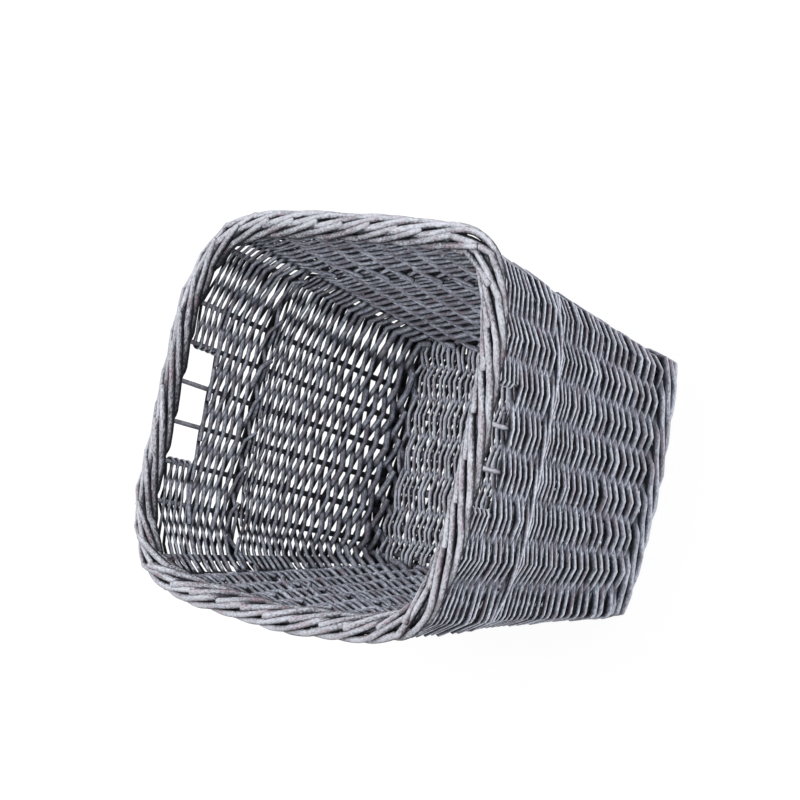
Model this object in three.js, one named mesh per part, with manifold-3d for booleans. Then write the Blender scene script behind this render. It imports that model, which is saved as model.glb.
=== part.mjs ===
// A willow storage basket: a flat woven base, flared woven walls on upright stakes, a plaited border
// and a hand gap under the border in each end wall.
// Millimetres, +Z up. The origin is on the floor, under the middle of the base.

import * as THREE from 'three';
import { mergeVertices } from 'three/addons/utils/BufferGeometryUtils.js';
import Module from 'manifold-3d';

const wasm = await Module();
wasm.setup();

// Overall sizes. The rim is measured over the border and the foot over the foot wale, halfway up it.
const rimLength = 370;
const rimWidth = 300;
const footLength = 286;
const footWidth = 195;
const height = 220;

// Exponents of the rounded-rectangle outlines: the higher one has the tighter corners.
const rimSquareness = 4.4;
const footSquareness = 20;

// Rods
const stakeDiameter = 4.6;
const cornerPostDiameter = 5.6;
const weaverDiameter = 3.4;
const waleRodDiameter = 4;
const baseStickDiameter = 6;
const rodSides = 8;

// Bands of the wall. The lower siding fills what the others leave of the height.
const footWaleHeight = 16;
const waistWaleHeight = 9;
const waleChamfer = 2.5;
const upperSidingHeight = 38;
const handGapHeight = 20;
const borderHeight = 17;
const borderWidth = 20;
const borderChamfer = 5.5;

// Stakes: how many stand in each wall, how far the outer ones keep from the corner posts along the wall,
// how far weaving has pulled the left wall's feet aside, and how their ends are held
const sideWallStakeCount = 8;
const sideWallRimGap = 34;
const sideWallFootGap = 34;
const endWallStakeCount = 6;
const endWallRimGap = 42;
const endWallFootGap = 28;
const leftWallLean = 14;
const bareStakeCount = 2;
const footFloor = 2;
const tipInBorder = 8;

// Base: its sticks, how far the outer ones lie from its long edges and from the inner ones, how far all stop
// short of its ends, and its height off the floor
const innerStickCount = 5;
const edgeStickInset = 5;
const edgeStickGap = 20;
const stickSetback = 2;
const baseLift = 1.5;

const clearance = 0.3;
const wallSteps = 2;
const cornerSteps = 4;

// Sizes that follow from those
const sidingThickness = stakeDiameter + 2 * weaverDiameter;
const waleThickness = stakeDiameter + 2 * waleRodDiameter;
const baseThickness = baseStickDiameter + 2 * weaverDiameter;

// Cross-sections of the bands. The valley is the thickness halfway between two uprights, as a share of that
// beside one: siding rods lie on both sides of a stake, and cross each other between two stakes.
const siding = { thickness: sidingThickness, chamfer: 0, valley: weaverDiameter / sidingThickness };
const wale = { thickness: waleThickness, chamfer: waleChamfer, valley: 1 };
const roll = { thickness: borderWidth, chamfer: borderChamfer, valley: 1 };

const borderBottom = height - borderHeight;
const handGapBottom = borderBottom - handGapHeight;
const waistWaleTop = handGapBottom - upperSidingHeight - clearance;
const waistWaleBottom = waistWaleTop - waistWaleHeight;
const baseMiddle = baseLift + baseThickness / 2;

const willow = { weave: '#85868d', stake: '#77777e', border: '#b3b2b8' };
const willowRoughness = 0.85;

// The stakes' own outlines, at the levels where the foot and the rim are measured
const foot = {
  level: footWaleHeight / 2,
  halfLength: footLength / 2 - waleThickness / 2,
  halfWidth: footWidth / 2 - waleThickness / 2,
  squareness: footSquareness,
};
const rim = {
  level: height - borderChamfer,
  halfLength: rimLength / 2 - borderWidth / 2,
  halfWidth: rimWidth / 2 - borderWidth / 2,
  squareness: rimSquareness,
};

// Distance of an outline's edge from its long axis, at a place along that axis
function reach(along, halfAlong, halfAcross, squareness) {
  const share = Math.abs(along / halfAlong) ** squareness;
  return halfAcross * (1 - share) ** (1 / squareness);
}

// The walls in turn, anticlockwise from above, each with its quarter turns from the right wall
const endWall = { stakes: endWallStakeCount, rimGap: endWallRimGap, footGap: endWallFootGap };
const sideWall = { stakes: sideWallStakeCount, rimGap: sideWallRimGap, footGap: sideWallFootGap };
const rightWall = { name: 'right', turns: 0, lean: 0, ...endWall };
const backWall = { name: 'back', turns: 1, lean: 0, ...sideWall };
const leftWall = { name: 'left', turns: 2, lean: leftWallLean, ...endWall };
const frontWall = { name: 'front', turns: 3, lean: 0, ...sideWall };
const walls = [rightWall, backWall, leftWall, frontWall];

// A point on an outline, given a wall and the place along it
function onOutline(outline, wall, along) {
  const isSideWall = wall.turns % 2 === 1;
  const halfAlong = isSideWall ? outline.halfLength : outline.halfWidth;
  const halfAcross = isSideWall ? outline.halfWidth : outline.halfLength;
  const across = reach(along, halfAlong, halfAcross, outline.squareness);
  const origin = new THREE.Vector2();
  return new THREE.Vector2(across, along).rotateAround(origin, (wall.turns * Math.PI) / 2);
}

// How far along a wall its corner lies, on the outline's diagonal
function cornerAlong(outline, wall) {
  const halfAlong = wall.turns % 2 === 1 ? outline.halfLength : outline.halfWidth;
  return halfAlong * 0.5 ** (1 / outline.squareness);
}

// A straight line up the wall, from the foot outline to the rim outline
function wallLine(wall, footAlong, rimAlong) {
  return { foot: onOutline(foot, wall, footAlong), rim: onOutline(rim, wall, rimAlong) };
}

function linePoint(line, z) {
  return line.foot.clone().lerp(line.rim, (z - foot.level) / (rim.level - foot.level));
}

// Every upright: a corner post where each wall starts, then the wall's stakes, evenly spread
const uprights = [];
for (const [index, wall] of walls.entries()) {
  const before = walls[(index + walls.length - 1) % walls.length];
  uprights.push({
    name: `corner_post_${before.name}_${wall.name}`,
    wall,
    diameter: cornerPostDiameter,
    footAlong: -cornerAlong(foot, wall),
    rimAlong: -cornerAlong(rim, wall),
  });
  const footReach = cornerAlong(foot, wall) - wall.footGap;
  const rimReach = cornerAlong(rim, wall) - wall.rimGap;
  for (let number = 1; number <= wall.stakes; number += 1) {
    const place = (2 * (number - 1)) / (wall.stakes - 1) - 1;
    uprights.push({
      name: `${wall.name}_stake_${number}`,
      wall,
      number,
      diameter: stakeDiameter,
      footAlong: place * footReach + wall.lean,
      rimAlong: place * rimReach,
    });
  }
}

// Lines up the wall at each upright and between it and the next one, closer together beside a corner post.
// Each has its share of the way to the next upright.
function linesFrom(index) {
  const upright = uprights[index];
  const next = uprights[(index + 1) % uprights.length];
  const { wall } = upright;
  const sameWall = next.wall === wall;
  const footEnd = sameWall ? next.footAlong : cornerAlong(foot, wall);
  const rimEnd = sameWall ? next.rimAlong : cornerAlong(rim, wall);
  const besideCorner = !upright.number || !next.number;
  const steps = besideCorner ? cornerSteps : wallSteps;
  const lines = [];
  for (let step = 0; step < steps; step += 1) {
    const share = step / steps;
    const footAlong = THREE.MathUtils.lerp(upright.footAlong, footEnd, share);
    const rimAlong = THREE.MathUtils.lerp(upright.rimAlong, rimEnd, share);
    lines.push({ ...wallLine(wall, footAlong, rimAlong), share });
  }
  return lines;
}

const roundLines = uprights.flatMap((upright, index) => linesFrom(index));

// Points at one height beside a row of wall lines, moved out from the stakes by an offset. Halfway between
// two uprights the offset shrinks to the valley's share of it.
function beside(lines, z, offset, valley, closed) {
  const points = lines.map((line) => linePoint(line, z));
  const count = points.length;
  const outward = points.map((point, index) => {
    const along = points[(index + 1) % count].clone().sub(point).normalize();
    return new THREE.Vector2(along.y, -along.x);
  });
  return points.map((point, index) => {
    const after = closed || index < count - 1 ? outward[index] : outward[index - 1];
    const before = closed || index > 0 ? outward[(index + count - 1) % count] : after;
    const mitre = before.clone().add(after).normalize();
    const swell = THREE.MathUtils.lerp(valley, 1, Math.abs(1 - 2 * lines[index].share));
    const moved = point.clone().addScaledVector(mitre, (offset * swell) / mitre.dot(after));
    return new THREE.Vector3(moved.x, moved.y, z);
  });
}

// A closed surface through a row of sections of equally many points
function loft(sections, closed) {
  const size = sections[0].length;
  const spans = closed ? sections.length : sections.length - 1;
  const index = [];
  for (let span = 0; span < spans; span += 1) {
    const here = span * size;
    const there = ((span + 1) % sections.length) * size;
    for (let side = 0; side < size; side += 1) {
      const next = (side + 1) % size;
      index.push(here + side, here + next, there + next);
      index.push(here + side, there + next, there + side);
    }
  }
  if (!closed) {
    const last = (sections.length - 1) * size;
    for (let side = 1; side < size - 1; side += 1) {
      index.push(0, side + 1, side);
      index.push(last, last + side, last + side + 1);
    }
  }
  const geometry = new THREE.BufferGeometry().setFromPoints(sections.flat());
  geometry.setIndex(index);
  return geometry;
}

// A band of the wall, from one height to another, with the long edges of a chamfered one cut off at a slant
function band(lines, closed, bottom, top, { thickness, chamfer, valley }) {
  const half = thickness / 2;
  const corners = chamfer === 0
    ? [[-half, top], [half, top], [half, bottom], [-half, bottom]]
    : [
      [-half + chamfer, top], [half - chamfer, top],
      [half, top - chamfer], [half, bottom + chamfer],
      [half - chamfer, bottom], [-half + chamfer, bottom],
      [-half, bottom + chamfer], [-half, top - chamfer],
    ];
  const rows = corners.map(([offset, z]) => beside(lines, z, offset, valley, closed));
  return loft(lines.map((line, index) => rows.map((row) => row[index])), closed);
}

// Booleans on closed geometries
function toSolid(geometry) {
  const plain = geometry.clone();
  plain.deleteAttribute('normal');
  plain.deleteAttribute('uv');
  const merged = mergeVertices(plain);
  const vertProperties = new Float32Array(merged.attributes.position.array);
  const triVerts = new Uint32Array(merged.index.array);
  return new wasm.Manifold(new wasm.Mesh({ numProp: 3, vertProperties, triVerts }));
}

function cut(geometry, cutters) {
  const solid = cutters.reduce((left, cutter) => left.subtract(toSolid(cutter)), toSolid(geometry));
  const { vertProperties, triVerts } = solid.getMesh();
  const result = new THREE.BufferGeometry();
  result.setAttribute('position', new THREE.BufferAttribute(vertProperties, 3));
  result.setIndex(new THREE.BufferAttribute(triVerts, 1));
  return result;
}

function addMesh(group, name, geometry, color) {
  const material = new THREE.MeshStandardMaterial({ color, roughness: willowRoughness, metalness: 0 });
  material.flatShading = true;
  const mesh = new THREE.Mesh(geometry, material);
  mesh.name = name;
  group.add(mesh);
  return mesh;
}

// A straight rod between two points. A hole for it is the same rod, wider and longer by the clearance.
function rod(diameter, start, end, gap) {
  const apothem = Math.cos(Math.PI / rodSides);
  const radius = diameter / 2 + gap / apothem;
  const geometry = new THREE.CylinderGeometry(radius, radius, start.distanceTo(end) + 2 * gap, rodSides);
  const along = end.clone().sub(start).normalize();
  const turn = new THREE.Quaternion().setFromUnitVectors(new THREE.Vector3(0, 1, 0), along);
  return { geometry, turn, middle: start.clone().lerp(end, 0.5) };
}

function addRod(group, name, diameter, start, end) {
  const { geometry, turn, middle } = rod(diameter, start, end, 0);
  const mesh = addMesh(group, name, geometry, willow.stake);
  mesh.position.copy(middle);
  mesh.quaternion.copy(turn);
}

function rodHole(diameter, start, end) {
  const { geometry, turn, middle } = rod(diameter, start, end, clearance);
  return geometry.applyQuaternion(turn).translate(middle.x, middle.y, middle.z);
}

const basket = new THREE.Group();
const base = new THREE.Group();
const frame = new THREE.Group();
const weave = new THREE.Group();
basket.add(base, frame, weave);

// Uprights, from a socket in the foot wale to a socket in the border
const uprightHoles = [];
for (const upright of uprights) {
  const line = wallLine(upright.wall, upright.footAlong, upright.rimAlong);
  const bottom = footFloor + clearance;
  const top = borderBottom + tipInBorder;
  const start = linePoint(line, bottom);
  const end = linePoint(line, top);
  const ends = [new THREE.Vector3(start.x, start.y, bottom), new THREE.Vector3(end.x, end.y, top)];
  addRod(frame, upright.name, upright.diameter, ...ends);
  uprightHoles.push(rodHole(upright.diameter, ...ends));
}

// Bands that run right round the basket
function addBand(name, bottom, top, section, color) {
  const geometry = band(roundLines, true, bottom, top, section);
  addMesh(weave, name, cut(geometry, uprightHoles), color);
}
addBand('foot_wale', 0, footWaleHeight, wale, willow.weave);
const lowerSidingBottom = footWaleHeight + clearance;
addBand('lower_siding', lowerSidingBottom, waistWaleBottom - clearance, siding, willow.weave);
addBand('waist_wale', waistWaleBottom, waistWaleTop, wale, willow.weave);
addBand('upper_siding', waistWaleTop + clearance, handGapBottom, siding, willow.weave);
addBand('border', borderBottom, height, roll, willow.border);

// Siding beside the hand gaps: from the far stake of one gap round to the near stake of the next
function gapStake(wall, isFar) {
  const near = Math.floor((wall.stakes - bareStakeCount) / 2);
  const number = isFar ? near + bareStakeCount + 1 : near;
  return uprights.findIndex((upright) => upright.wall === wall && upright.number === number);
}

// The rods turn back round the stake at the gap's edge, so the siding ends one rod past it.
function turnBackLine(index, direction) {
  const { wall, footAlong, rimAlong } = uprights[index];
  const past = direction * (stakeDiameter / 2 + clearance + weaverDiameter);
  return { ...wallLine(wall, footAlong + past, rimAlong + past), share: 0 };
}

function addGapSiding(name, fromWall, toWall) {
  const first = gapStake(fromWall, true);
  const last = gapStake(toWall, false);
  const count = (last - first + uprights.length) % uprights.length;
  const lines = [turnBackLine(first, -1)];
  for (let step = 0; step < count; step += 1) {
    lines.push(...linesFrom((first + step) % uprights.length));
  }
  lines.push(linesFrom(last)[0], turnBackLine(last, 1));
  const bottom = handGapBottom + clearance;
  const geometry = band(lines, false, bottom, borderBottom - clearance, siding);
  addMesh(weave, name, cut(geometry, uprightHoles), willow.weave);
}
addGapSiding('back_siding', rightWall, leftWall);
addGapSiding('front_siding', leftWall, rightWall);

// Base sticks, and the base weave that they run through inside the foot wale
const floorInset = waleThickness / 2 + clearance;
const floorHalfLength = foot.halfLength - floorInset;
const floorHalfWidth = foot.halfWidth - floorInset;
const edgeStickPlace = floorHalfWidth - edgeStickInset;
const stickPlaces = [-edgeStickPlace];
for (let number = 0; number < innerStickCount; number += 1) {
  const place = (2 * number) / (innerStickCount - 1) - 1;
  stickPlaces.push(place * (edgeStickPlace - edgeStickGap));
}
stickPlaces.push(edgeStickPlace);

const stickHoles = [];
for (const [index, place] of stickPlaces.entries()) {
  const outerSide = Math.abs(place) + baseStickDiameter / 2;
  const end = reach(outerSide, floorHalfWidth, floorHalfLength, footSquareness) - stickSetback;
  const ends = [new THREE.Vector3(-end, place, baseMiddle), new THREE.Vector3(end, place, baseMiddle)];
  addRod(base, `base_stick_${index + 1}`, baseStickDiameter, ...ends);
  const holeEnds = [-footLength / 2, footLength / 2].map((x) => new THREE.Vector3(x, place, baseMiddle));
  stickHoles.push(rodHole(baseStickDiameter, ...holeEnds));
}
const floorLevels = [baseLift, baseLift + baseThickness];
const floorOutlines = floorLevels.map((z) => beside(roundLines, z, -floorInset, 1, true));
addMesh(base, 'base_weave', cut(loft(floorOutlines, false), stickHoles), willow.weave);

export default basket;
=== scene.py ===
"""Willow storage basket: the rods of a stake-and-strand basket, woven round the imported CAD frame."""

import bisect
import math
import random
import typing

import bmesh
import bpy
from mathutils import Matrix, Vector


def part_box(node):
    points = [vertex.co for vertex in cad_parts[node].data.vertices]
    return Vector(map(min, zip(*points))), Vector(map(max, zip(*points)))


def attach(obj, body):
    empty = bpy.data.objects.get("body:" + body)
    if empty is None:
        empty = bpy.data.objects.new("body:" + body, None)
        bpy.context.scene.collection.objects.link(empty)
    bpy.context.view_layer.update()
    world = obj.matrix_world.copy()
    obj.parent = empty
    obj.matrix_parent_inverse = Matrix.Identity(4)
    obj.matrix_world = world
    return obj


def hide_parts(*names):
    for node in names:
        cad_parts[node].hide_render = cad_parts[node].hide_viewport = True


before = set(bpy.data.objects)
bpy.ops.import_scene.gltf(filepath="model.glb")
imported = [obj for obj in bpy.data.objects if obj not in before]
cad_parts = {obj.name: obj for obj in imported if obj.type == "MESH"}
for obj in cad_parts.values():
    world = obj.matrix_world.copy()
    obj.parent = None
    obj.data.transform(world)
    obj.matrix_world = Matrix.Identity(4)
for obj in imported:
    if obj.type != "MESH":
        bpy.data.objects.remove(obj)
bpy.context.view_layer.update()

bl_info = {
    "name": "Willow Storage Basket",
    "version": (1, 0, 0),
    "blender": (4, 5, 0),
    "location": "View3D > Sidebar > Basket",
    "description": "Weaves a whitewashed willow basket round its CAD frame",
    "category": "Add Mesh",
}

UP = Vector((0, 0, 1))

# Walls in the order of the uprights, anticlockwise from above
WALLS = ("right", "back", "left", "front")

# Thickness of an upright at its foot and at its top, as shares of its diameter
UPRIGHT_FOOT = 1.06
UPRIGHT_TOP = 0.76

# How far a woven rod's thickness varies along it, and a stake's or stick's
ROD_UNEVEN = 0.07
STICK_UNEVEN = 0.03

# Where a rod bends round the outside of a corner post, at the foot and at the rim: shares of the way to the
# uprights beside the post
CORNER_BENDS = {
    "corner_post_front_right": ((-0.6, 0.0, 0.1), (-0.72, 0.0, 0.1)),
    "corner_post_right_back": ((-0.3, 0.1, 0.3), (-0.3, 0.1, 0.7)),
    "corner_post_back_left": ((-0.2, 0.0, 0.2), (-0.2, 0.0, 0.2)),
    "corner_post_left_front": ((-0.35, 0.0, 0.35), (-0.35, 0.0, 0.35)),
}


class Swell(typing.NamedTuple):
    """A swell of the basket past its uprights, at the foot of the siding and at the rim, in metres.

    Its middle is a shift on from an upright, and it fades out within a reach, both counted in uprights.
    """

    upright: str
    shift: float
    reach: float
    foot: float
    rim: float


FOOT_SWELLS = (
    Swell("corner_post_front_right", 0.25, 1.2, -0.0035, -0.0035),
    Swell("corner_post_right_back", 0.0, 1.4, 0.001, 0.001),
    Swell("right_stake_4", -0.3, 3.2, 0.0036, 0.0036),
)
SIDING_SWELLS = (
    Swell("corner_post_front_right", -0.4, 1.4, -0.0012, 0.0075),
    Swell("corner_post_right_back", 0.3, 1.4, -0.0025, 0.006),
    Swell("corner_post_left_front", -0.5, 1.6, 0.0, 0.0045),
    Swell("right_stake_4", 0.0, 2.4, 0.0015, 0.0),
)
BORDER_SWELLS = (
    Swell("corner_post_front_right", 0.2, 1.0, 0.005, 0.005),
    Swell("corner_post_right_back", 0.3, 1.4, 0.005, 0.005),
    Swell("corner_post_left_front", -0.6, 1.5, 0.0045, 0.0045),
    Swell("front_stake_4", 0.0, 2.0, 0.0015, 0.0015),
    Swell("front_stake_5", 0.2, 1.3, 0.0022, 0.0022),
    Swell("right_stake_3", 0.5, 3.5, 0.0012, 0.0012),
)

# Slope of the painted light on the walls: rods are painted paler towards the foot outside them and towards
# the mouth inside, and darker on the far side as painted shade
LIGHT_SLOPE_OUTSIDE = 0.8
LIGHT_SLOPE_INSIDE = 1.5
# Share of the paint on the inside of a wall, less than outside, so the inside is darker as painted shade
INSIDE_SHADED_COVER = 0.76
# How much more the border's rods are painted light from above than from their sides, leaving their sides and
# undersides in painted shade
BORDER_LIGHT_FROM_ABOVE = 2.2

# Rings from one stop of a strand to the next, and sides of the rods
STEPS = 6
ROD_SIDES = 8
STAKE_SIDES = 12
BORDER_SIDES = 12

# How far apart the rods lie along the grain's pattern, in metres
GRAIN_STEP = 0.37
# Margin of a rod's strip in the bake layout, as a share of its width
STRIP_MARGIN = 0.08
MERGE_DISTANCE = 1e-7
LEAST_RADIUS = 1e-5

# Sockets of a Mix node that mixes colours
MIX_UNDER = 6
MIX_OVER = 7
MIX_RESULT = 2


def linear(hex_colour):
    """An sRGB hex colour as linear red, green, blue."""
    shares = [int(hex_colour[i:i + 2], 16) / 255 for i in (1, 3, 5)]
    return [c / 12.92 if c <= 0.04045 else ((c + 0.055) / 1.055) ** 2.4 for c in shares]


def mix(low, high, share):
    """The value at a share of the way from low to high."""
    return low + (high - low) * share


def eased(share):
    """A smooth share from 0 to 1."""
    return (1 - math.cos(math.pi * share)) / 2


# Settings that a user would change


def length(name, description, default):
    """A length setting, in metres."""
    kind = {"min": 0.0, "precision": 5, "subtype": "DISTANCE", "unit": "LENGTH"}
    return bpy.props.FloatProperty(name=name, description=description, default=default, **kind)


def count(name, description, default):
    """A number of rods or rows."""
    return bpy.props.IntProperty(name=name, description=description, default=default, min=1)


def colour(name, description, default):
    """A colour setting, given as sRGB hex."""
    kind = {"size": 3, "min": 0.0, "max": 1.0, "subtype": "COLOR"}
    return bpy.props.FloatVectorProperty(name=name, description=description, default=linear(default), **kind)


class BasketSizes(bpy.types.PropertyGroup):
    """Thicknesses and numbers of the willow rods."""

    stake: length("Stake", "Diameter of a stake", 0.0046)
    corner_post: length("Corner post", "Diameter of a corner post", 0.0056)
    base_stick: length("Base stick", "Diameter of a stick in the base", 0.0060)
    base_rod: length("Base rod", "Diameter of a rod woven across the base", 0.0028)
    foot_rod: length("Foot rod", "Diameter of a rod in the foot wale", 0.0056)
    waist_rod: length("Waist rod", "Diameter of a rod in the waist wale", 0.0031)
    border_rod: length("Border rod", "Diameter of a rod in the border", 0.0054)
    lower_climb: count("Lower climb", "Uprights that a rod of the lower siding passes", 36)
    upper_climb: count("Upper climb", "Uprights that a rod of the upper siding passes", 12)
    gap_rows: count("Hand gap rows", "Rows of siding beside the hand gaps", 9)
    base_rows: count("Base rows", "Rows woven across the base", 88)
    border_strokes: count("Border strokes", "Strokes of the border round the rim", 38)
    rod_taper: bpy.props.FloatProperty(
        name="Rod taper",
        description="Thickness of a lower siding rod at its tip over that at its butt",
        default=0.47,
        min=0.2,
        max=1.0,
        subtype="FACTOR",
    )


class BasketColours(bpy.types.PropertyGroup):
    """Colours of the willow and of the floor."""

    weave: colour("Weave", "Painted willow of the siding and wales", "#a4aaba")
    stake: colour("Stake", "Painted willow of the stakes and sticks", "#7c7e8a")
    border: colour("Border", "Painted willow of the border", "#94959f")
    # Dark stain, also used as painted shade in the recesses and on the sides turned from the painted light
    stain_and_shade: colour("Stain", "Dark stain left in the recesses", "#23252c")
    # Whitewash, also the painted highlight on the raised crests
    wash_and_highlight: colour("Whitewash", "Dry white paint on the raised faces", "#e2e5ee")
    blush: colour("Blush", "Pink bark that shows through the paint", "#a28d99")
    floor: colour("Floor", "The floor under the basket", "#ffffff")


# Uprights and walls of the CAD frame


def axis_ends(node, axis):
    """Both ends of a straight CAD rod's centre line, low end first along the given axis."""
    points = {tuple(round(x, 6) for x in vertex.co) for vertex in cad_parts[node].data.vertices}
    low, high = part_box(node)
    middle = (low[axis] + high[axis]) / 2
    below = [Vector(point) for point in points if point[axis] < middle]
    above = [Vector(point) for point in points if point[axis] >= middle]
    return [sum(end, Vector()) / len(end) for end in (below, above)]


def wall_stakes(wall):
    """Names of a wall's stakes, in order."""
    total = sum(1 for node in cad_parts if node.startswith(f"{wall}_stake_"))
    return [f"{wall}_stake_{number}" for number in range(1, total + 1)]


def corner_post(wall):
    """Name of the corner post at the start of a wall."""
    return f"corner_post_{WALLS[WALLS.index(wall) - 1]}_{wall}"


def band_range(node):
    """Bottom and top of a CAD band."""
    low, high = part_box(node)
    return low.z, high.z


UPRIGHTS = [name for wall in WALLS for name in (corner_post(wall), *wall_stakes(wall))]
AXES = {name: axis_ends(name, 2) for name in UPRIGHTS}
FOOT = band_range("foot_wale")[1]
RIM = band_range("border")[1]


def climbed(z):
    """Share of the way from the foot of the siding to the rim."""
    return (z - FOOT) / (RIM - FOOT)


def upright_name(index):
    """Name of an upright. The index may run past a full round."""
    return UPRIGHTS[index % len(UPRIGHTS)]


def is_post(index):
    """Whether an upright is a corner post."""
    return upright_name(index).startswith("corner_post")


def upright_at(index, z):
    """Where an upright's centre line is at a height."""
    low, high = AXES[upright_name(index)]
    return low.lerp(high, (z - low.z) / (high.z - low.z))


def upright_radius(index, z):
    """Radius of a stake or corner post at a height, thickest at the foot."""
    sizes = bpy.context.scene.basket_sizes
    low, high = AXES[upright_name(index)]
    share = (z - low.z) / (high.z - low.z)
    diameter = sizes.corner_post if is_post(index) else sizes.stake
    return diameter / 2 * mix(UPRIGHT_FOOT, UPRIGHT_TOP, share)


def upright_outward(index, z):
    """Level direction out of the basket at an upright."""
    before, here, after = (upright_at(index + step, z) for step in (-1, 0, 1))
    along = (here - before).normalized() + (after - here).normalized()
    return Vector((along.y, -along.x, 0)).normalized()


def outward_at(place, z):
    """Level direction out of the basket at a place: an upright's index, or part of the way to the next."""
    before, after = (upright_outward(math.floor(place) + step, z) for step in (0, 1))
    return before.lerp(after, place % 1).normalized()


def wall_at(place, z):
    """Middle of the wall at a height: a smooth curve through the uprights that bows at the posts."""
    index = math.floor(place)
    share = place - index
    a, b, c, d = (upright_at(index + step, z) for step in (-1, 0, 1, 2))
    straight = 2 * b + (c - a) * share
    curved = (2 * a - 5 * b + 4 * c - d) * share ** 2 + (3 * b - a - 3 * c + d) * share ** 3
    return (straight + curved) / 2


def swell_at(swells, place, z):
    """How far the swells stand out at a height, at a place in a wall."""
    total = 0.0
    for swell in swells:
        away = place - UPRIGHTS.index(swell.upright) - swell.shift
        away -= len(UPRIGHTS) * round(away / len(UPRIGHTS))
        if abs(away) < swell.reach:
            total += eased(1 - abs(away) / swell.reach) * mix(swell.foot, swell.rim, climbed(z))
    return total


# Rods


class Drift:
    """A slow, seeded wander along a rod: a few sine waves, together at most 1 high."""

    def __init__(self, rng, waves, span):
        # Height, span and turn of each wave
        self.waves = [
            (rng.uniform(0.3, 1.0), rng.uniform(1.6, span), rng.uniform(0, 2 * math.pi))
            for _ in range(waves)
        ]
        self.scale = 1 / sum(height for height, _, _ in self.waves)

    def at(self, place):
        """Height of the wander at a place along the rod."""
        turns = 2 * math.pi * place
        return self.scale * sum(height * math.sin(turns / span + turn) for height, span, turn in self.waves)


class Ring(typing.NamedTuple):
    """One cross-section of a rod: its middle and radius, and how it lies in the weave.

    The face is the way out of the weave, tilted towards where the painted light comes from. The lean goes
    from -1 for a rod on the far side of the weave's middle to 1 for one on the near side. The paint and
    light cover is the share of the paint that reaches it; less of it paints the rod darker as painted shade.
    """

    point: Vector
    radius: float
    face: Vector
    lean: float
    paint_and_light_cover: float

    def proud(self, place):
        """How far a place on the rod faces out of the weave: 1 on its crest, near 0 on its inner side. High
        values are painted paler and low ones darker, as painted light and shade.
        """
        facing = (place - self.point).dot(self.face) / max(self.radius, LEAST_RADIUS)
        turned = self.lean * facing + (1 - abs(self.lean)) * abs(facing)
        return self.paint_and_light_cover * (1 + turned) / 2


class Rod:
    """One willow rod: its rings, closed at both ends, the length up to each, and its tint from 0 to 1."""

    # Where the shoulder of a cut end lies, as shares of the cut's length and of the rod's radius
    SHOULDER_PLACE = 0.7
    SHOULDER_RADIUS = 0.8

    def __init__(self, rings, tint, blunt=0.25):
        start = self.cap(rings[0], rings[1], blunt)
        end = self.cap(rings[-1], rings[-2], blunt)
        self.rings = [*start[::-1], *rings, *end]
        self.tint = tint
        self.lengths = [0.0]
        for here, there in zip(self.rings, self.rings[1:]):
            self.lengths.append(self.lengths[-1] + (there.point - here.point).length)

    def cap(self, end, inner, blunt):
        """Two rings that close an end with a short rounded cut."""
        out = (end.point - inner.point).normalized() * end.radius * blunt
        shoulder = end.point + out * self.SHOULDER_PLACE
        return [
            end._replace(point=shoulder, radius=end.radius * self.SHOULDER_RADIUS),
            end._replace(point=end.point + out, radius=0.0),
        ]


class Stop(typing.NamedTuple):
    """A place on a strand: the middle of the weave, the way out of it, the strand's offset and radius."""

    centre: Vector
    out: Vector
    offset: float
    radius: float


def wall_stop(place, z, offset, radius):
    """A stop beside the wall, outside it if its offset is positive. Only the outside swells."""
    out = outward_at(place, z)
    centre = wall_at(place, z)
    if offset > 0:
        centre += out * swell_at(FOOT_SWELLS if z < FOOT else SIDING_SWELLS, place, z)
    return Stop(centre, out, offset, radius)


def bends(index, z, offset):
    """Places where a rod bends as it passes an upright: three round the outside of a corner post."""
    if offset < 0 or not is_post(index):
        return [index]
    foot, rim = CORNER_BENDS[upright_name(index)]
    return [index + mix(low, high, climbed(z)) for low, high in zip(foot, rim)]


def strand(stops, stiff, steps=STEPS):
    """Rings of a strand from stop to stop. A stiff one runs straight and bends only at the stops."""
    rings = []
    for here, there in zip(stops, stops[1:]):
        for step in range(steps):
            share = step / steps
            passed = stiff * share + (1 - stiff) * eased(share)
            rings.append(ring_beside(
                here.centre.lerp(there.centre, share),
                here.out.lerp(there.out, share).normalized(),
                mix(here.offset, there.offset, passed),
                mix(here.radius, there.radius, share),
            ))
    rings.append(ring_beside(*stops[-1]))
    return rings


def ring_beside(centre, out, offset, radius):
    """A ring at an offset from the middle of the weave. The inside is painted darker than the outside, as
    painted shade.
    """
    lean = max(-1.0, min(1.0, offset / radius))
    outside = (1 + lean) / 2
    # Painted light and shade: the face tilts towards where the painted light comes from
    slope = mix(LIGHT_SLOPE_INSIDE, LIGHT_SLOPE_OUTSIDE, outside) * (1 - abs(out.z))
    face = (out - slope * UP).normalized()
    return Ring(centre + out * offset, radius, face, lean, mix(INSIDE_SHADED_COVER, 1.0, outside))


def half_turn(stops, climb, reach=0.0, swell=1.0):
    """Rings of a half turn on to the next row, past the last stop by a reach, where the bent rod swells."""
    stop = stops[-1]
    along = stop.centre - stops[-2].centre
    along = (along - stop.out * along.dot(stop.out)).normalized()
    rings = []
    for step in range(1, STEPS):
        turn = math.pi * step / STEPS
        centre = stop.centre + climb * step / STEPS
        away = stop.out * stop.offset * math.cos(turn) + along * (abs(stop.offset) + reach) * math.sin(turn)
        rings.append(Ring(centre + away, stop.radius * swell, away.normalized(), 1.0, 1.0))
    return rings


def woven_rod(rings, rng):
    """A rod with a slow swell in its thickness, and a tint of its own."""
    swell = Drift(rng, waves=5, span=70.0)
    thick = [ring.radius * (1 + ROD_UNEVEN * swell.at(index)) for index, ring in enumerate(rings)]
    return Rod([ring._replace(radius=radius) for ring, radius in zip(rings, thick)], rng.random())


# Meshes of the rods


def add_object(name, data):
    """A new object in the scene."""
    added = bpy.data.objects.new(name, data)
    bpy.context.scene.collection.objects.link(added)
    return added


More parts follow.
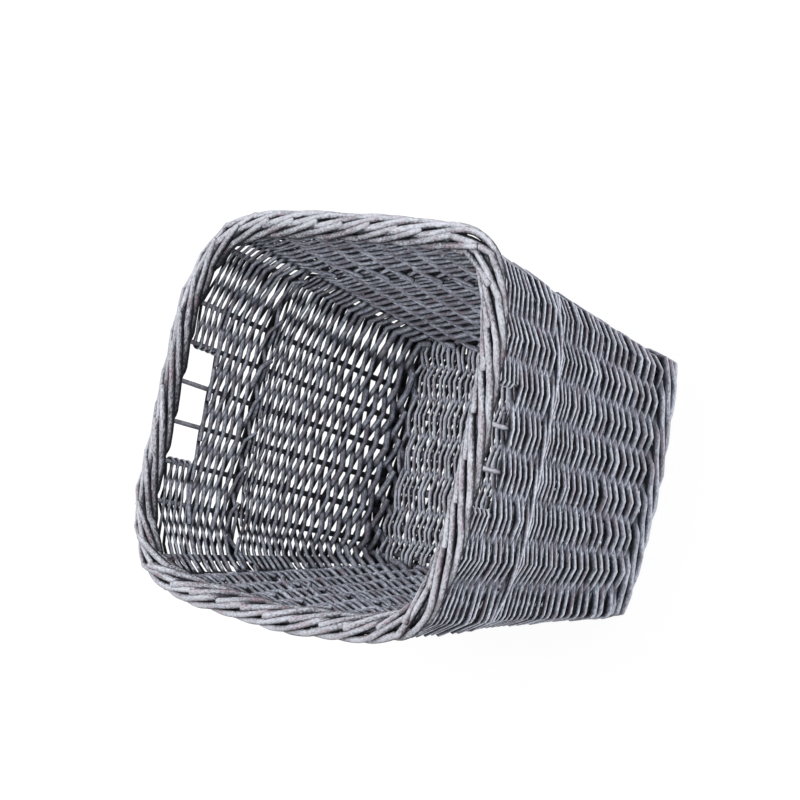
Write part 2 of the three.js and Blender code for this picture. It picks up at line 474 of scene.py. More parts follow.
def tubes(name, rods, sides):
    """A mesh with a round tube along each rod."""
    curve = bpy.data.curves.new(name, "CURVE")
    curve.dimensions = "3D"
    curve.bevel_depth = 1.0
    curve.bevel_resolution = (sides - 4) // 2
    for rod in rods:
        spline = curve.splines.new("POLY")
        spline.points.add(len(rod.rings) - 1)
        spline.points.foreach_set("co", [x for ring in rod.rings for x in (*ring.point, 1.0)])
        spline.points.foreach_set("radius", [ring.radius for ring in rod.rings])
    path = add_object(f"{name}_path", curve)
    depsgraph = bpy.context.evaluated_depsgraph_get()
    mesh = bpy.data.meshes.new_from_object(path.evaluated_get(depsgraph))
    bpy.data.objects.remove(path)
    bpy.data.curves.remove(curve)
    mesh.name = name
    if sides * sum(len(rod.rings) for rod in rods) != len(mesh.vertices):
        raise RuntimeError(f"{name}: its {len(mesh.vertices)} vertices don't match its rods")
    return mesh


def add_attributes(mesh, rods, sides):
    """Gives each vertex its rod's tint, how far it faces out, which sets its painted light and shade, and
    its place across and along the grain.
    """
    grain, tint, proud = [], [], []
    turns = [2 * math.pi * side / sides for side in range(sides)]
    vertices = iter(mesh.vertices)
    for number, rod in enumerate(rods):
        for ring, along in zip(rod.rings, rod.lengths):
            for turn in turns:
                across = (ring.radius * math.cos(turn), ring.radius * math.sin(turn))
                grain += (*across, along + GRAIN_STEP * number)
                tint.append(rod.tint)
                proud.append(ring.proud(next(vertices).co))
    mesh.attributes.new("grain", "FLOAT_VECTOR", "POINT").data.foreach_set("vector", grain)
    mesh.attributes.new("tint", "FLOAT", "POINT").data.foreach_set("value", tint)
    mesh.attributes.new("proud", "FLOAT", "POINT").data.foreach_set("value", proud)


def lay_out(mesh, rods, sides):
    """Bake layout: a strip for each rod, as long as the rod."""
    layout = mesh.uv_layers[0]
    layout.name = "OFBake"
    longest = max(rod.lengths[-1] for rod in rods)
    shares = [0.0] * (2 * len(mesh.loops))
    layout.data.foreach_get("uv", shares)
    loop = 0
    for number, rod in enumerate(rods):
        for _ in range(4 * sides * (len(rod.rings) - 1)):
            across = STRIP_MARGIN + (1 - 2 * STRIP_MARGIN) * shares[2 * loop + 1]
            shares[2 * loop] *= rod.lengths[-1] / longest
            shares[2 * loop + 1] = (number + across) / len(rods)
            loop += 1
    layout.data.foreach_set("uv", shares)


def willow_piece(name, rods, sides, material, nodes):
    """One visible piece: its rods in a finish, in place of CAD nodes."""
    mesh = tubes(name, rods, sides)
    add_attributes(mesh, rods, sides)
    lay_out(mesh, rods, sides)
    shape = bmesh.new()
    shape.from_mesh(mesh)
    bmesh.ops.remove_doubles(shape, verts=shape.verts, dist=MERGE_DISTANCE)
    bmesh.ops.recalc_face_normals(shape, faces=shape.faces)
    shape.to_mesh(mesh)
    shape.free()
    mesh.materials.clear()
    mesh.materials.append(material)
    piece = add_object(name, mesh)
    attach(piece, "root")
    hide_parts(*nodes)


def woven_wall(node, rods):
    """A piece of weaving in the walls, in place of a CAD band."""
    willow_piece(f"{node}_rods", rods, ROD_SIDES, weave_finish(), [node])


# Finishes


def empty_tree(owner):
    """The cleared node tree of a material or world."""
    owner.use_nodes = True
    owner.node_tree.nodes.clear()
    return owner.node_tree


def add_node(tree, kind, inputs=(), **settings):
    """Adds a shader node, applies its settings, and fills or links its inputs."""
    node = tree.nodes.new(kind)
    for name, value in settings.items():
        setattr(node, name, value)
    for socket, value in inputs:
        if isinstance(value, bpy.types.NodeSocket):
            tree.links.new(value, node.inputs[socket])
        else:
            node.inputs[socket].default_value = value
    return node


def calculate(tree, operation, *values):
    """Result of a calculation with the values."""
    return add_node(tree, "ShaderNodeMath", enumerate(values), operation=operation).outputs[0]


def remap(tree, value, source, target=(0.0, 1.0), kind="LINEAR"):
    """A value taken from one range to another, and kept within it."""
    ends = zip(("From Min", "From Max", "To Min", "To Max"), (*source, *target))
    node = add_node(tree, "ShaderNodeMapRange", [("Value", value), *ends], interpolation_type=kind)
    return node.outputs["Result"]


def blend(tree, share, under, over):
    """A colour under a share of another."""
    inputs = [("Factor", share), (MIX_UNDER, under), (MIX_OVER, over)]
    return add_node(tree, "ShaderNodeMix", inputs, data_type="RGBA").outputs[MIX_RESULT]


def grain_noise(tree, grain, wide, long, detail, roughness):
    """Noise drawn out along the rod, with spots of a width and a length in metres."""
    scale = (1 / wide, 1 / wide, 1 / long)
    drawn_out = add_node(tree, "ShaderNodeMapping", [("Vector", grain), ("Scale", scale)]).outputs["Vector"]
    inputs = [("Vector", drawn_out), ("Scale", 1.0), ("Detail", detail), ("Roughness", roughness)]
    return add_node(tree, "ShaderNodeTexNoise", inputs).outputs["Fac"]


def whitewashed_willow(part, body, wash_and_highlight_share, bare, full, wear):
    """Peeled willow, stained, painted and dry-brushed: matt, dark in its recesses as painted shade, palest
    where raised as a painted highlight.

    Faces turned to the paint by less than the bare share keep the stain, which is also painted shade, and by
    more than the full share have all the paint. The wear is how uneven it is, and the wash share how white
    the dry brush and its painted highlight are.
    """
    name = f"Whitewashed willow {part}"
    if name in bpy.data.materials:
        return bpy.data.materials[name]
    colours = bpy.context.scene.basket_colours
    material = bpy.data.materials.new(name)
    tree = empty_tree(material)
    grain, tint, proud = (
        add_node(tree, "ShaderNodeAttribute", attribute_name=name).outputs[kind]
        for name, kind in (("grain", "Vector"), ("tint", "Fac"), ("proud", "Fac"))
    )

    # Streaks of the brush, patches of worn paint, and the dry brush's speckle
    streak = grain_noise(tree, grain, wide=0.0012, long=0.008, detail=3.0, roughness=0.6)
    patch = grain_noise(tree, grain, wide=0.005, long=0.018, detail=4.0, roughness=0.65)
    speckle = grain_noise(tree, grain, wide=0.0012, long=0.0026, detail=3.0, roughness=0.75)

    # Paint, paler and darker from rod to rod and along each rod, with pink bark where a patch is worn
    value = remap(tree, tint, (0.0, 1.0), (0.76, 1.22))
    worn = ((streak, (0.3, 0.7), 0.6), (patch, (0.32, 0.62), 0.5), (speckle, (0.34, 0.66), 0.8))
    for noise, source, gain in worn:
        value = calculate(tree, "MULTIPLY", value, remap(tree, noise, source, (1 - wear, 1 + gain * wear)))
    scaled = [(0, (*body,)), ("Scale", value)]
    painted = add_node(tree, "ShaderNodeVectorMath", scaled, operation="SCALE").outputs["Vector"]
    pink = remap(tree, patch, (0.5, 0.36), (0.0, 1.8 * wear))
    blushed = blend(tree, pink, painted, (*colours.blush, 1.0))

    # Paint covers what stands out of the weave and leaves the stain in its depth, with a ragged edge: the
    # dark there is also painted shade of the recesses and of the sides turned from the painted light
    ragged = 0.5
    edge = calculate(tree, "MULTIPLY_ADD", speckle, ragged, proud)
    painted_and_lit = remap(tree, edge, (bare + ragged / 2, full + ragged / 2), kind="SMOOTHSTEP")
    coated_and_shaded = blend(tree, painted_and_lit, (*colours.stain_and_shade, 1.0), blushed)

    # The dry brush catches the raised faces, where the speckle and the patches are high: real whitewash, and
    # also a painted highlight on the crests
    raised = calculate(tree, "MULTIPLY_ADD", speckle, 0.9, proud)
    raised = calculate(tree, "MULTIPLY_ADD", patch, 0.7, raised)
    dry_brush_and_highlight = remap(tree, raised, (1.5, 1.84), (0.0, wash_and_highlight_share))
    washed = blend(tree, dry_brush_and_highlight, coated_and_shaded, (*colours.wash_and_highlight, 1.0))

    relief = calculate(tree, "ADD", streak, speckle)
    bumps = [("Height", relief), ("Strength", 0.5), ("Distance", 0.0003)]
    bump = add_node(tree, "ShaderNodeBump", bumps).outputs["Normal"]
    matt = [("Roughness", 0.78), ("IOR", 1.45), ("Specular IOR Level", 0.3)]
    inputs = [("Base Color", washed), *matt, ("Normal", bump)]
    surface = add_node(tree, "ShaderNodeBsdfPrincipled", inputs).outputs["BSDF"]
    add_node(tree, "ShaderNodeOutputMaterial", [("Surface", surface)])
    return material


def weave_finish():
    """Woven rods: pale ridges over dark gaps, as painted highlight and painted shade, each rod in a tone of
    its own.
    """
    colours = bpy.context.scene.basket_colours
    return whitewashed_willow("weave", colours.weave, wash_and_highlight_share=0.85, bare=0.25, full=0.95, wear=0.32)


def stake_finish():
    """Stakes and sticks: duller and more even, and darker as painted shade where the weave hides them."""
    colours = bpy.context.scene.basket_colours
    return whitewashed_willow("stakes", colours.stake, wash_and_highlight_share=0.6, bare=0.05, full=0.85, wear=0.24)


def border_finish():
    """Border: pale, worn backs with pink bark, and dark sides that part the rods, as painted shade from the
    light above.
    """
    colours = bpy.context.scene.basket_colours
    return whitewashed_willow("border", colours.border, wash_and_highlight_share=0.6, bare=0.54, full=1.0, wear=0.44)


# Pieces


class BASKET_OT_stakes(bpy.types.Operator):
    """Stakes of each wall and the four corner posts"""

    bl_idname = "basket.stakes"
    bl_label = "Stakes"

    STAKE_STEPS = 24
    # How far a stake bows to one side, in metres
    BOW = 0.0003
    # Paint on a stake: less in the weave as painted shade, and outside more than inside where it is bare,
    # the inside a little darker as painted shade
    HIDDEN_SHADED_COVER = 0.5
    BARE_LEAN = 0.2

    def execute(self, context):
        groups = {f"{wall}_stakes": wall_stakes(wall) for wall in WALLS}
        groups["corner_posts"] = [corner_post(wall) for wall in WALLS]
        for number, (name, nodes) in enumerate(groups.items()):
            rng = random.Random(100 + number)
            rods = [self.stake(UPRIGHTS.index(node), rng) for node in nodes]
            willow_piece(name, rods, STAKE_SIDES, stake_finish(), nodes)
        return {"FINISHED"}

    def stake(self, index, rng):
        """A nearly straight rod, thicker at the foot, painted darker in the weave as painted shade, and
        painted all round above the round siding.
        """
        low, high = AXES[UPRIGHTS[index]]
        siding_top = band_range("upper_siding")[1]
        bow = Drift(rng, waves=3, span=0.8)
        swell = Drift(rng, waves=4, span=0.5)
        side = Vector((rng.uniform(-1, 1), rng.uniform(-1, 1), 0)).normalized()
        rings = []
        for step in range(self.STAKE_STEPS + 1):
            share = step / self.STAKE_STEPS
            point = low.lerp(high, share) + side * bow.at(share) * self.BOW
            thick = upright_radius(index, point.z) * (1 + STICK_UNEVEN * swell.at(share))
            if point.z > siding_top:
                rings.append(Ring(point, thick, outward_at(index, point.z), self.BARE_LEAN, 1.0))
            else:
                rings.append(Ring(point, thick, Vector(), 0.0, self.HIDDEN_SHADED_COVER))
        return Rod(rings, rng.random())


class BASKET_OT_siding(bpy.types.Operator):
    """Siding: a rod from each upright, woven in front of one upright and behind the next as it climbs"""

    bl_idname = "basket.siding"
    bl_label = "Siding"

    # How far the siding is beaten down between the rods of a wale
    BEDDING = 0.0024
    # How far the butts of the rods hang down inside
    LOWER_DROP = 0.002
    UPPER_DROP = 0.006
    UPPER_TAPER = 0.9
    # Radius of a rod in climbs from one upright to the next, and in rows beside a hand gap
    FULLNESS = 0.55
    GAP_FULLNESS = 0.48
    STIFF = 0.75
    GAP_STIFF = 0.6
    # Stakes on both sides of a hand gap, counted from 0 along an end wall
    BEFORE_GAP = 1
    AFTER_GAP = 4
    # Unevenness of the climbing rods, with a shared wander, an own wobble and a random level in climbs
    THICKNESS = (0.8, 1.18)
    STAND_OFF = (0.9, 1.1)
    WANDER = 0.34
    WOBBLE = 0.34
    LEVEL = 0.13
    # Parts of the shared wander, how far apart they begin, and how far a climb moves it on
    WANDER_PARTS = 3
    WANDER_APART = 40
    WANDER_CLIMB = 0.3
    # Unevenness of the rows beside the hand gaps
    GAP_STAND_OFF = (0.95, 1.03)
    GAP_LEVEL = 0.08
    # Loose ends, with the way inwards as a share of the drop
    END_REACH = (0.26, 0.42)
    END_DROP = (0.7, 1.2)
    END_STAND_OFF = (1.0, 1.2)
    END_INWARDS = 0.2

    def execute(self, context):
        sizes = context.scene.basket_sizes
        rng = random.Random(200)
        waist_bottom, waist_top = band_range("waist_wale")
        levels = (FOOT - self.BEDDING, waist_bottom + self.BEDDING)
        rods = self.climbing_rods(levels, sizes.lower_climb, sizes.rod_taper, self.LOWER_DROP, rng)
        woven_wall("lower_siding", rods)
        levels = (waist_top - self.BEDDING, band_range("upper_siding")[1])
        rods = self.climbing_rods(levels, sizes.upper_climb, self.UPPER_TAPER, self.UPPER_DROP, rng)
        woven_wall("upper_siding", rods)
        for wall, start, end in (("back", "right", "left"), ("front", "left", "right")):
            first = UPRIGHTS.index(wall_stakes(start)[self.AFTER_GAP])
            final = UPRIGHTS.index(wall_stakes(end)[self.BEFORE_GAP])
            if final < first:
                final += len(UPRIGHTS)
            posts = list(range(first, final + 1))
            woven_wall(f"{wall}_siding", [self.turned_back(f"{wall}_siding", sizes.gap_rows, posts, rng)])
        return {"FINISHED"}

    def climbing_rods(self, levels, climb, taper, drop, rng):
        """Rods from inside the uprights, climbing alike between two levels, with butts hung by the drop."""
        bottom, top = levels
        weights = [mix(1, taper, step / (climb - 1)) for step in range(climb)]
        unit = (top - bottom) / (sum(weights) + self.FULLNESS * (weights[0] + weights[-1]))
        pitches = [unit * weight for weight in weights]
        heights = [bottom + self.FULLNESS * pitches[0]]
        for pitch in pitches:
            heights.append(heights[-1] + pitch)
        pitches.append(pitches[-1])
        wander = [Drift(rng, waves=5, span=24.0) for _ in range(self.WANDER_PARTS)]
        rods = []
        for start in range(len(UPRIGHTS)):
            fullness = self.FULLNESS * rng.uniform(*self.THICKNESS)
            wobble = Drift(rng, waves=6, span=14.0)
            stops = []
            for step, (height, pitch) in enumerate(zip(heights, pitches)):
                index = start + step
                uneven = self.WANDER * self.shared_wander(wander, index, step)
                uneven += self.WOBBLE * wobble.at(index) + rng.uniform(-self.LEVEL, self.LEVEL)
                level = height + pitch * uneven
                radius = fullness * pitch
                push = (upright_radius(index, level) + radius) * rng.uniform(*self.STAND_OFF)
                offset = push if step % 2 else -push
                for place in bends(index, level, offset):
                    stops.append(wall_stop(place, level + pitch * (place - index), offset, radius))
            butt = self.loose_end(start, -1, stops[0], drop, rng)
            tip = self.loose_end(start + climb, 1, stops[-1], 0.0, rng)
            rods.append(woven_rod(strand([butt, *stops, tip], self.STIFF), rng))
        return rods

    def shared_wander(self, wander, index, step):
        """How far the rods together stray from their level at an upright, after some climbs."""
        place = index % len(UPRIGHTS) + self.WANDER_CLIMB * step
        total = sum(part.at(place + self.WANDER_APART * number) for number, part in enumerate(wander))
        return total / len(wander)

    def loose_end(self, index, way, stop, drop, rng):
        """The end of a rod, a little way past the last upright that holds it, on the same side."""
        place = index + way * rng.uniform(*self.END_REACH)
        level = stop.centre.z - drop * rng.uniform(*self.END_DROP)
        offset = stop.offset * rng.uniform(*self.END_STAND_OFF) - self.END_INWARDS * drop
        return wall_stop(place, level, offset, stop.radius)

    def turned_back(self, node, rows, posts, rng):
        """Rows that turn back round the posts at both ends: one long rod to and fro."""
        bottom, top = band_range(node)
        bottom -= self.BEDDING
        pitch = (top - bottom) / rows
        radius = pitch * self.GAP_FULLNESS
        rings = []
        for row in range(rows):
            way = -1 if row % 2 else 1
            stops = []
            for index in posts[::way]:
                level = bottom + pitch * (row + 0.5) + pitch * rng.uniform(-self.GAP_LEVEL, self.GAP_LEVEL)
                push = (upright_radius(index, level) + radius) * rng.uniform(*self.GAP_STAND_OFF)
                offset = push if (index + row) % 2 else -push
                for place in bends(index, level, offset)[::way]:
                    stops.append(wall_stop(place, level, offset, radius))
            rings += strand(stops, self.GAP_STIFF)
            if row < rows - 1:
                rings += half_turn(stops, pitch * UP)
        return woven_rod(rings, rng)


class BASKET_OT_wales(bpy.types.Operator):
    """Foot wale and waist wale: rods that pass in front of a few uprights and behind one"""

    bl_idname = "basket.wales"
    bl_label = "Wales"

    # How far a rod lies over the one below it, and the lowest above the band's foot, in radii
    LAY = 2.1
    LOWEST = 1.18
    STIFF = 0.35
    # Unevenness of the rods, with the level in radii
    LEVEL = 0.1
    STAND_OFF = (0.98, 1.03)

    def execute(self, context):
        sizes = context.scene.basket_sizes
        rng = random.Random(300)
        rods = self.waling("foot_wale", sizes.foot_rod / 2, in_front=3, begin=4, rng=rng)
        woven_wall("foot_wale", rods)
        rods = self.waling("waist_wale", sizes.waist_rod / 2, in_front=2, begin=28, rng=rng)
        woven_wall("waist_wale", rods)
        return {"FINISHED"}

    def waling(self, node, radius, in_front, begin, rng):
        """One round from an upright on. Each rod comes out low, climbs over the others and goes in again."""
        bottom, top = band_range(node)
        span = self.LAY * radius * (in_front - 1)
        low = max((bottom + top - span) / 2, bottom + self.LOWEST * radius)
        # Height and side of a rod at each half step, from the upright that it passes behind
        climbs = [eased(place / (2 * in_front - 2)) for place in range(2 * in_front - 1)]
        course = [(0.5, -1.0), (0.0, 0.55), *((climb, 1.0) for climb in climbs), (1.0, 0.1)]
        strokes = math.ceil(2 * len(UPRIGHTS) / len(course))
        rods = []
        for number in range(in_front + 1):
            stops = []
            for step in range(strokes * len(course) + 1):
                climb, side = course[step % len(course)]
                index = begin + number + step // 2
                level = low + span * climb + radius * rng.uniform(-self.LEVEL, self.LEVEL)
                push = (upright_radius(index, level) + radius) * rng.uniform(*self.STAND_OFF)
                stops.append(wall_stop(index + step % 2 / 2, level, push * side, radius))
            rods.append(woven_rod(strand(stops, self.STIFF, STEPS // 2), rng))
        return rods


class BASKET_OT_base(bpy.types.Operator):
    """Base: sticks along it, and rods woven across them"""

    bl_idname = "basket.base"
    bl_label = "Base"

    STICK_STEPS = 16
    STICK_COVER = 0.9
    # How far the rods reach past the outer sticks, into the foot wale
    REACH = 0.008
    # How far the first and last rows lie past the CAD base, up to the foot wale
    OVERHANG = 0.0025
    ROWS_IN_ROD = 8
    STIFF = 0.6
    # How much thicker a rod is where it turns back
    PRESSED = 1.25
    # Unevenness of the rows, with a wander and a random place in rows
    THICKNESS = (0.74, 1.28)
    WANDER = 0.7
    PLACE = 0.28

    def execute(self, context):
        sizes = context.scene.basket_sizes
        rng = random.Random(400)
        nodes = sorted(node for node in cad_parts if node.startswith("base_stick_"))
        axes = sorted((axis_ends(node, 0) for node in nodes), key=lambda ends: ends[0].y)
        rods = [self.stick(ends, sizes.base_stick / 2, rng) for ends in axes]
        willow_piece("base_sticks", rods, STAKE_SIDES, stake_finish(), nodes)
        rods = self.weave(axes, sizes, rng)
        willow_piece("base_weave_rods", rods, ROD_SIDES, weave_finish(), ["base_weave"])
        return {"FINISHED"}

    def stick(self, ends, radius, rng):
        """A straight stick along the base."""
        swell = Drift(rng, waves=4, span=0.6)
        rings = []
        for step in range(self.STICK_STEPS + 1):
            share = step / self.STICK_STEPS
            thick = radius * (1 + STICK_UNEVEN * swell.at(share))
            rings.append(Ring(ends[0].lerp(ends[1], share), thick, Vector(), 0.0, self.STICK_COVER))
        return Rod(rings, rng.random())

    def weave(self, axes, sizes, rng):
        """Rods to and fro across the sticks, a few rows to a rod."""
        low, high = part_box("base_weave")
        rows = sizes.base_rows
        start = low.x - self.OVERHANG
        pitch = (high.x + self.OVERHANG - start) / rows
        radius = sizes.base_rod / 2
        push = sizes.base_stick / 2 + radius
        rods, rings = [], []
        for row in range(rows):
            way = -1 if row % 2 else 1
            stops = []
            wander = Drift(rng, waves=3, span=5.0)
            thick = radius * rng.uniform(*self.THICKNESS)
            for number, ends in list(enumerate(axes))[::way]:
                stray = self.WANDER * wander.at(number) + rng.uniform(-self.PLACE, self.PLACE)
                centre = Vector((start + pitch * (row + 0.5 + stray), ends[0].y, ends[0].z))
                offset = push if (number + row) % 2 else -push
                stops.append(Stop(centre, UP, offset, thick))
            rings += strand(stops, self.STIFF)
            if (row + 1) % self.ROWS_IN_ROD == 0 or row == rows - 1:
                rods.append(woven_rod(rings, rng))
                rings = []
            else:
                rings += half_turn(stops, Vector((pitch, 0, 0)), self.REACH, self.PRESSED)
        return rods


class Roll:
    """Roll of the border: its centre line, clockwise from above, and half its width and height."""

    def __init__(self, rod_radius, strokes):
        low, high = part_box("border")
        middle = (low.z + high.z) / 2
        reach = max(upright_at(index, middle).x for index in range(len(UPRIGHTS)))
        self.half_width = high.x - reach - rod_radius
        self.half_height = (high.z - low.z) / 2 - rod_radius
        self.points = []
        for index in range(len(UPRIGHTS)):
            for step in range(STEPS):
                place = -index - step / STEPS
                swell = outward_at(place, middle) * swell_at(BORDER_SWELLS, place, middle)
                self.points.append(wall_at(place, middle) + swell)
        self.points.append(self.points[0])
        self.places = [0.0]
        for here, there in zip(self.points, self.points[1:]):
            self.places.append(self.places[-1] + (there - here).length)
        self.pitch = self.places[-1] / strokes

    def at(self, stroke):
        """Point of the centre line and direction out of the basket, at a place in strokes."""
        place = stroke * self.pitch % self.places[-1]
        index = min(bisect.bisect_right(self.places, place), len(self.points) - 1)
        share = (place - self.places[index - 1]) / (self.places[index] - self.places[index - 1])
        along = self.direction(index - 1).lerp(self.direction(index), share).normalized()
        return self.points[index - 1].lerp(self.points[index], share), Vector((-along.y, along.x, 0))

    def direction(self, index):
        """Direction of the centre line at one of its points."""
        last = len(self.points) - 1
        return (self.points[(index + 1) % last] - self.points[(index - 1) % last]).normalized()


class Course(typing.NamedTuple):
    """How a stroke of the border turns round the roll, and from where to where it is straight.

    A point is a place along the rim in strokes from the inner tip, degrees from the top of the roll to the
    outside, and a depth as a share of the roll's radius.
    """

    points: tuple
    straight: tuple


INNER_COURSE = Course(
    points=(
        (-2.80, -146, 0.60),
        (-2.50, -127, 0.95),
        (-2.00, -101, 1.00),
        (-1.00, -50, 1.02),
        (-0.50, -24, 1.05),
        (-0.10, -2, 1.08),
        (0.08, 8, 1.06),
    ),
    straight=(-1.5, 0.08),
)
OUTER_COURSE = Course(
    points=(
        (-0.75, -45, 0.30),
        (-0.45, -37, 0.52),
        (-0.15, -25, 0.84),
        (0.20, -9, 1.00),
        (0.60, 13, 1.00),
        (1.20, 44, 1.00),
        (1.70, 69, 1.00),
        (2.60, 113, 1.00),
        (2.90, 127, 0.92),
        (3.20, 140, 0.60),
    ),
    straight=(0.1, 1.5),
)


class BASKET_OT_border(bpy.types.Operator):
    """Border: two combs of short rods round the rim, the inner ones diving where the outer ones come out"""

    bl_idname = "basket.border"
    bl_label = "Border"

    RINGS_IN_STROKE = 10
    TIP_BLUNT = 0.5
    # Unevenness of the strokes: the turn in degrees, and how far along the wobble the depth and swell begin
    PLACE = 0.1
    THICKNESS = (0.88, 1.1)
    TURN = 5
    DEPTH = 0.06
    SWELL = 0.06
    DEPTH_APART = 5
    SWELL_APART = 9
    # Share of the paint on the inner side of the roll, less than outside as painted shade
    INNER_SHADED_COVER = 0.82
    # How far a stroke is drawn towards a straight line, and how much of its bow it keeps
    STRAIGHTENING = 0.75
    KEPT_BOW = 0.7
    # The core: its thickness over a stroke's, the paint that reaches it, kept low as painted shade in the
    # depth of the roll, and its tint
    CORE_THICKNESS = 1.45
    CORE_SHADED_COVER = 0.8
    CORE_TINT = 0.3

    def execute(self, context):
        sizes = context.scene.basket_sizes
        rng = random.Random(500)
        radius = sizes.border_rod / 2
        roll = Roll(radius, sizes.border_strokes)
        rods = []
        for number in range(sizes.border_strokes):
            for course in (INNER_COURSE, OUTER_COURSE):
                start = number + rng.uniform(-self.PLACE, self.PLACE)
                rods.append(self.stroke(roll, radius, start, course, rng))
        rods.append(self.core(roll, radius))
        willow_piece("border_rods", rods, BORDER_SIDES, border_finish(), ["border"])
        return {"FINISHED"}

    def stroke(self, roll, radius, start, course, rng):
        """A rod that turns round the roll of the border, from the inside over the top to the outside."""
        radius *= rng.uniform(*self.THICKNESS)
        wobble = Drift(rng, waves=3, span=2.5)
        begin, end = course.points[0][0], course.points[-1][0]
        steps = round((end - begin) * self.RINGS_IN_STROKE)
        rings = []
        for step in range(steps + 1):
            run = mix(begin, end, step / steps)
            turn, depth = self.on_course(course, run)
            turn += math.radians(self.TURN) * wobble.at(run)
            depth += self.DEPTH * wobble.at(run + self.DEPTH_APART)
            thick = radius * (1 + self.SWELL * wobble.at(run + self.SWELL_APART))
            centre, out = roll.at(start + run)
            away = out * roll.half_width * math.sin(turn) + roll.half_height * math.cos(turn) * UP
            # Painted light from above: the rods' tops paler, their sides and undersides darker as painted
            # shade
            face = (away.normalized() + BORDER_LIGHT_FROM_ABOVE * UP).normalized()
            # Painted shade: strokes deep in the roll and on its inner side get less paint, so they show
            # darker
            paint_and_light_cover = min(1.0, depth * depth) * mix(self.INNER_SHADED_COVER, 1.0, min(1.0, 1 + math.sin(turn)))
            rings.append(Ring(centre + away * depth, thick, face, 1.0, paint_and_light_cover))
        first, last = (round((place - begin) * self.RINGS_IN_STROKE) for place in course.straight)
        return Rod(self.straightened(rings, first, last), rng.random(), self.TIP_BLUNT)

    def on_course(self, course, run):
        """Turn and depth of a stroke at a place along it."""
        for (start, turn, depth), (end, next_turn, next_depth) in zip(course.points, course.points[1:]):
            if run <= end:
                break
        share = (run - start) / (end - start)
        return math.radians(mix(turn, next_turn, share)), mix(depth, next_depth, eased(share))

    def straightened(self, rings, first, last):
        """Rings drawn towards a straight run between two of them, where a stiff rod hardly bends."""
        ends = rings[first].point, rings[last].point
        chord = [ends[0].lerp(ends[1], step / (last - first)) for step in range(last - first + 1)]
        bow = sum((ring.point - point for ring, point in zip(rings[first:], chord)), Vector()) / len(chord)
        drawn = list(rings)
        for index, point in enumerate(chord, first):
            ring = rings[index]
            straight = point + self.KEPT_BOW * bow
            drawn[index] = ring._replace(point=ring.point.lerp(straight, self.STRAIGHTENING))
        return drawn

    def core(self, roll, radius):
        """Tops of the stakes, bent down along the rim: thick, thinly painted, which darkens them as painted
        shade in the depth of the roll.
        """
        thick = self.CORE_THICKNESS * radius
        return Rod([Ring(point, thick, UP, 1.0, self.CORE_SHADED_COVER) for point in roll.points], self.CORE_TINT)


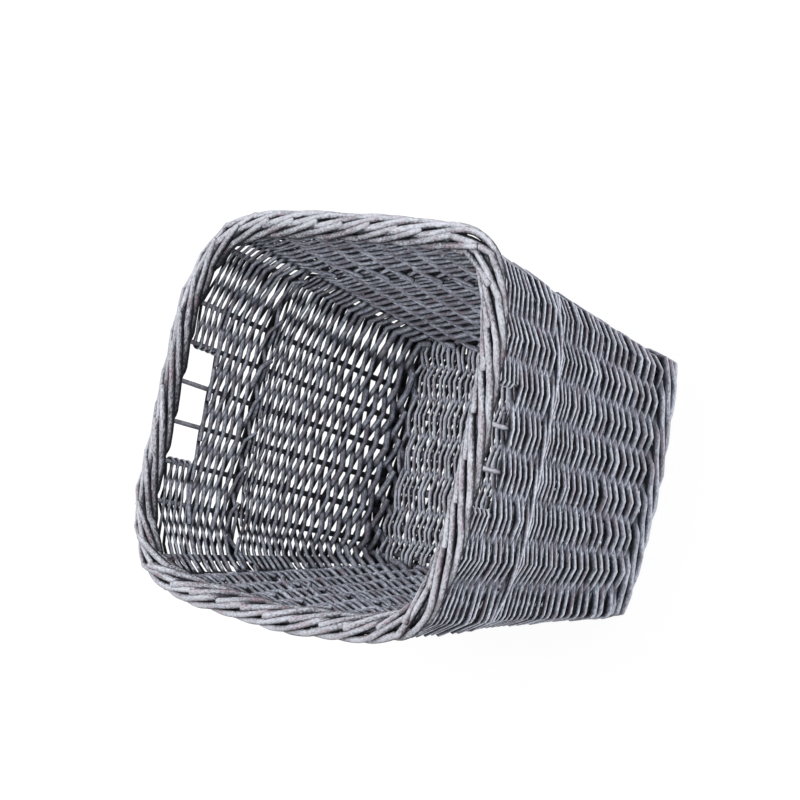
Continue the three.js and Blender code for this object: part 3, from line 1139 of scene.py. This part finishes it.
class BASKET_OT_stage(bpy.types.Operator):
    """Pale floor, soft light, and a camera at the photograph's viewing angle"""

    bl_idname = "basket.stage"
    bl_label = "Stage"

    # Camera: its place, its turn in degrees, and its focal length and sensor in millimetres
    CAMERA_PLACE = (1.58476, -0.09584, 1.47451)
    CAMERA_TURN = (16.6152, 47.7345, 17.4728)
    FOCAL_LENGTH = 128.69
    SENSOR = 36.0
    NEAREST = 0.1
    # Soft lamps: place, size and watts
    KEY_LAMP = (Vector((-0.25, 0.1, 2.2)), 1.2, 26.0)
    FILL_LAMP = (Vector((1.85, 0.7, 0.4)), 0.6, 11.0)
    # Light all round, from the front of the basket and from its back
    STUDIO_LIGHT = (0.42, 0.8)
    # The floor: half its side, and its glow and the share of it that the camera sees, over the shadow
    FLOOR_SIZE = 6.0
    FLOOR_GLOW = 1.04
    GLOW_SHARE = 0.9
    WHITE = (1.0, 1.0, 1.0, 1.0)

    def execute(self, context):
        scene = context.scene
        scene.view_settings.view_transform = "Standard"
        self.add_floor(scene)
        self.add_studio(scene)
        self.add_lamp("key_lamp", *self.KEY_LAMP)
        self.add_lamp("fill_lamp", *self.FILL_LAMP)
        self.add_camera(scene)
        return {"FINISHED"}

    def add_floor(self, scene):
        """White paper: plain white to the eye, with a faint shadow under the basket."""
        shape = bmesh.new()
        bmesh.ops.create_grid(shape, x_segments=1, y_segments=1, size=self.FLOOR_SIZE)
        mesh = bpy.data.meshes.new("floor")
        shape.to_mesh(mesh)
        shape.free()
        material = bpy.data.materials.new("White paper floor")
        tree = empty_tree(material)
        paper = (*scene.basket_colours.floor, 1.0)
        matt = add_node(tree, "ShaderNodeBsdfDiffuse", [("Color", paper)]).outputs[0]
        glow = self.shine(tree, "ShaderNodeEmission", paper, self.FLOOR_GLOW)
        share = calculate(tree, "MULTIPLY", self.seen(tree), self.GLOW_SHARE)
        mixed = add_node(tree, "ShaderNodeMixShader", [(0, share), (1, matt), (2, glow)]).outputs[0]
        add_node(tree, "ShaderNodeOutputMaterial", [("Surface", mixed)])
        mesh.materials.append(material)
        floor = add_object("floor", mesh)

    def add_studio(self, scene):
        """Soft light from all round, a little more of it from the back, and a white background."""
        world = bpy.data.worlds.new("studio")
        tree = empty_tree(world)
        towards = add_node(tree, "ShaderNodeTexCoord").outputs["Generated"]
        back = add_node(tree, "ShaderNodeSeparateXYZ", [("Vector", towards)]).outputs["Y"]
        level = remap(tree, back, (-1.0, 1.0), self.STUDIO_LIGHT)
        light = self.shine(tree, "ShaderNodeBackground", self.WHITE, level)
        white = self.shine(tree, "ShaderNodeBackground", self.WHITE, 1.0)
        seen = self.seen(tree)
        mixed = add_node(tree, "ShaderNodeMixShader", [(0, seen), (1, light), (2, white)]).outputs[0]
        add_node(tree, "ShaderNodeOutputWorld", [("Surface", mixed)])
        scene.world = world

    def shine(self, tree, kind, tone, strength):
        """Output of a shader that shines in a colour."""
        return add_node(tree, kind, [("Color", tone), ("Strength", strength)]).outputs[0]

    def seen(self, tree):
        """1 for what the camera sees, straight, mirrored or through glass."""
        path = add_node(tree, "ShaderNodeLightPath")
        total = path.outputs["Is Camera Ray"]
        for kind in ("Is Glossy Ray", "Is Transmission Ray"):
            total = calculate(tree, "MAXIMUM", total, path.outputs[kind])
        return total

    def add_lamp(self, name, place, size, power):
        """A square lamp that faces the basket."""
        data = bpy.data.lights.new(name, "AREA")
        data.size = size
        data.energy = power
        lamp = add_object(name, data)
        lamp.location = place
        lamp.rotation_euler = (-place).to_track_quat("-Z", "Y").to_euler()

    def add_camera(self, scene):
        """The camera, turned instead of the basket, which stands upright."""
        lens = bpy.data.cameras.new("camera")
        lens.lens = self.FOCAL_LENGTH
        lens.sensor_width = self.SENSOR
        lens.clip_start = self.NEAREST
        camera = add_object("camera", lens)
        camera.location = self.CAMERA_PLACE
        camera.rotation_euler = [math.radians(angle) for angle in self.CAMERA_TURN]
        scene.camera = camera


class BASKET_PT_panel(bpy.types.Panel):
    """Lists the basket's settings and pieces in the sidebar"""

    bl_idname = "BASKET_PT_panel"
    bl_label = "Willow Basket"
    bl_space_type = "VIEW_3D"
    bl_region_type = "UI"
    bl_category = "Basket"

    def draw(self, context):
        for settings in (context.scene.basket_sizes, context.scene.basket_colours):
            for name in settings.__annotations__:
                self.layout.prop(settings, name)
        for operator in OPERATORS:
            self.layout.operator(operator.bl_idname)


OPERATORS = (
    BASKET_OT_stage,
    BASKET_OT_stakes,
    BASKET_OT_base,
    BASKET_OT_wales,
    BASKET_OT_siding,
    BASKET_OT_border,
)
CLASSES = (BasketSizes, BasketColours, *OPERATORS, BASKET_PT_panel)


def register():
    """Adds the settings, operators and panel to Blender."""
    for cls in CLASSES:
        bpy.utils.register_class(cls)
    bpy.types.Scene.basket_sizes = bpy.props.PointerProperty(type=BasketSizes)
    bpy.types.Scene.basket_colours = bpy.props.PointerProperty(type=BasketColours)


def unregister():
    """Takes them out again."""
    del bpy.types.Scene.basket_colours
    del bpy.types.Scene.basket_sizes
    for cls in reversed(CLASSES):
        bpy.utils.unregister_class(cls)


def main():
    """Builds the stage and the pieces."""
    register()
    bpy.ops.basket.stage()
    bpy.ops.basket.stakes()
    bpy.ops.basket.base()
    bpy.ops.basket.wales()
    bpy.ops.basket.siding()
    bpy.ops.basket.border()


if __name__ == "__main__":
    main()
